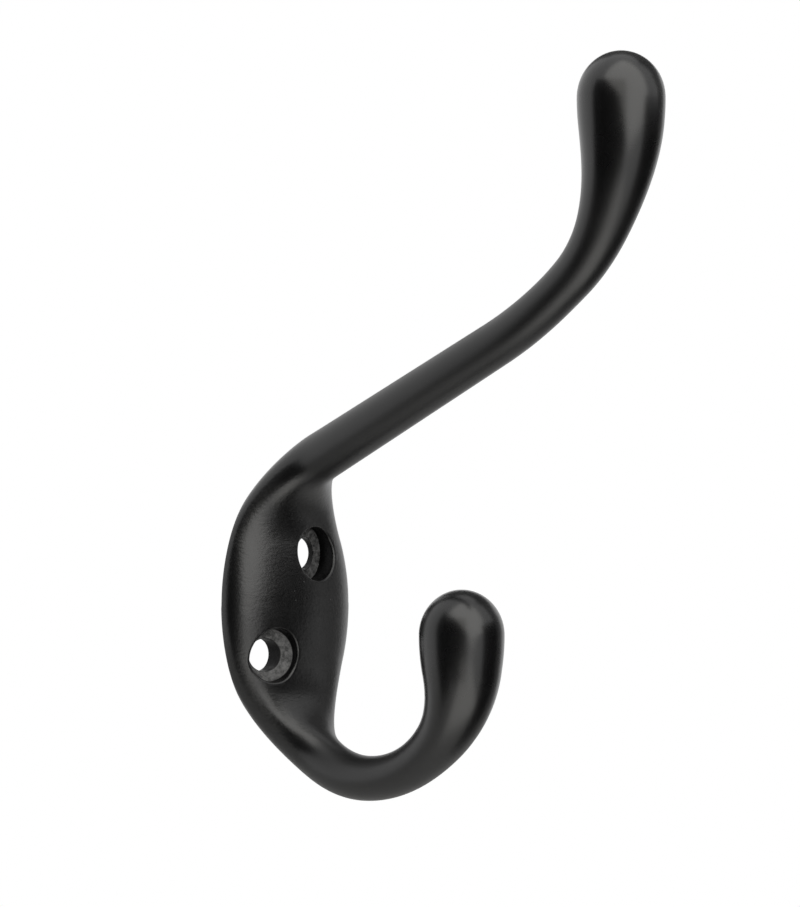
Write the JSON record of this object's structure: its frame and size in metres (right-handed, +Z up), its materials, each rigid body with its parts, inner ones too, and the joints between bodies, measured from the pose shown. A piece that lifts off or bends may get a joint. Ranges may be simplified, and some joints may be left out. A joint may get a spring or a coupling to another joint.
{
  "type": "coat hook",
  "caption": "Double coat and hat hook, cast in one piece: a long upper arm and a short J-shaped hook with teardrop knobs on a leaf-shaped wall plate.",
  "frame": {"origin": "middle of the flat back on the wall plane, halfway between the two screw holes in height", "axes": "+Z up along the plate, +Y into the wall, +X to the right when seen from the front; the hook reaches out to -Y"},
  "size_m": [0.026, 0.0778, 0.1117],
  "materials": {
    "finish": "smooth satin black lacquer over cast zinc"
  },
  "bodies": {
    "root": {"hook_body": "finish"}
  },
  "joints": []
}
